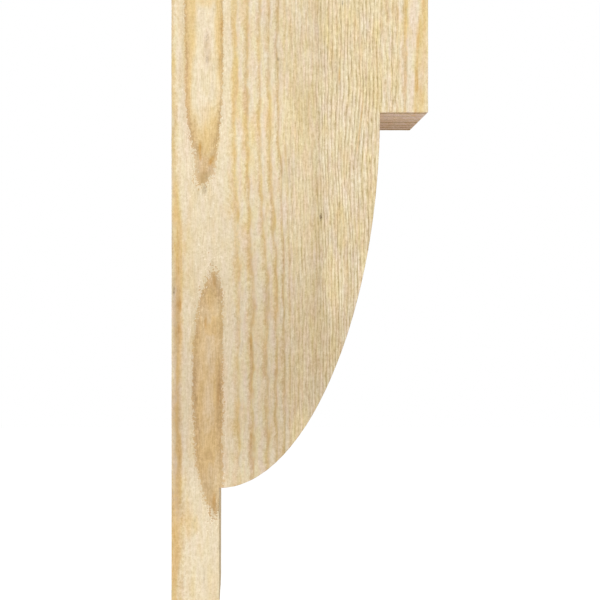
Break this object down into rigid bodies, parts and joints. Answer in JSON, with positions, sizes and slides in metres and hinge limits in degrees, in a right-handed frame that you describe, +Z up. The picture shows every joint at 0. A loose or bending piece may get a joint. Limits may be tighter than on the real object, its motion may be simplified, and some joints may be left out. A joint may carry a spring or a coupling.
{
  "type": "corbel bracket",
  "caption": "Rough-sawn softwood corbel bracket: a square block on top, a long convex belly under it and a slim leg that runs down the wall to a rounded toe.",
  "frame": {"origin": "middle of the flat back face that goes against the wall", "axes": "+X out from the wall, +Z up, Y across the thickness"},
  "size_m": [0.2032, 0.0888, 0.6095],
  "materials": {
    "timber": "bare rough-sawn softwood, unfinished"
  },
  "bodies": {
    "root": {"corbel_bracket": "timber"}
  },
  "joints": []
}
